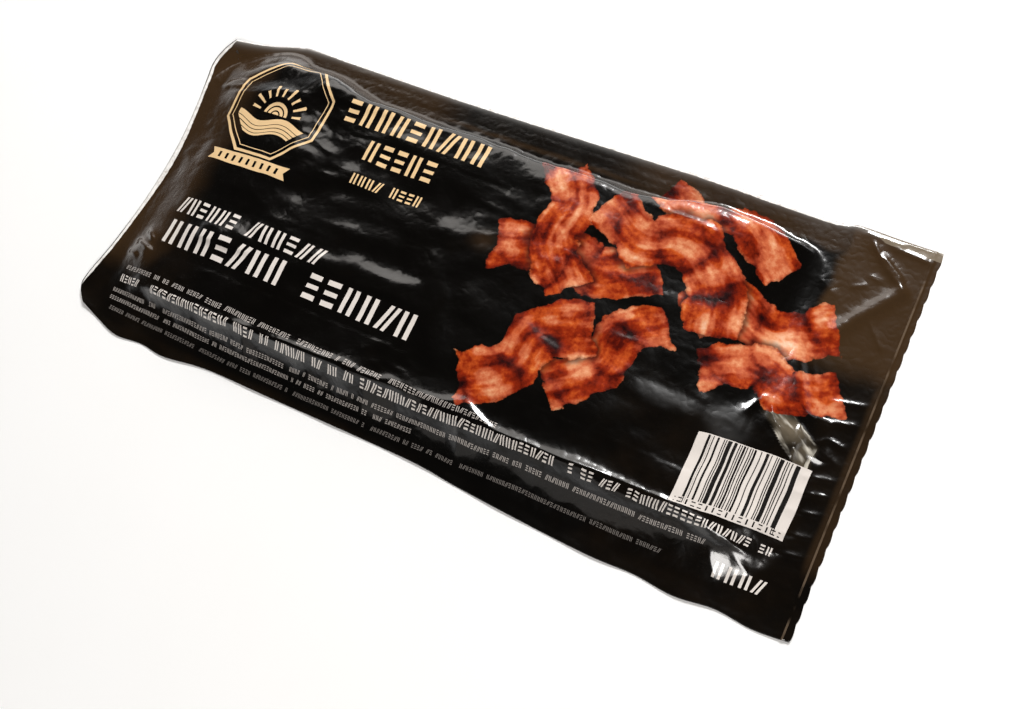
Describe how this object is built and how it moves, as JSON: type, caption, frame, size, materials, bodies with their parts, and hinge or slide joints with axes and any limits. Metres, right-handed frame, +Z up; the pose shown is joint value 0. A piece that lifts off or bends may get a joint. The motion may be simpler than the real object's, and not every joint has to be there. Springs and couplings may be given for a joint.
{
  "type": "bacon pack",
  "caption": "Flat vacuum pack of sliced bacon: gloss film drawn over a thin slab of rashers, with a welded flat border and a serrated end.",
  "frame": {"origin": "on the surface the pack lies on, under the middle of the slab of rashers", "axes": "+X along the pack in the reading direction of its print, +Y up the print, +Z up from the surface"},
  "size_m": [0.2637, 0.126, 0.0115],
  "materials": {
    "film": "gloss printed film"
  },
  "bodies": {
    "root": {"pack": "film"}
  },
  "joints": []
}
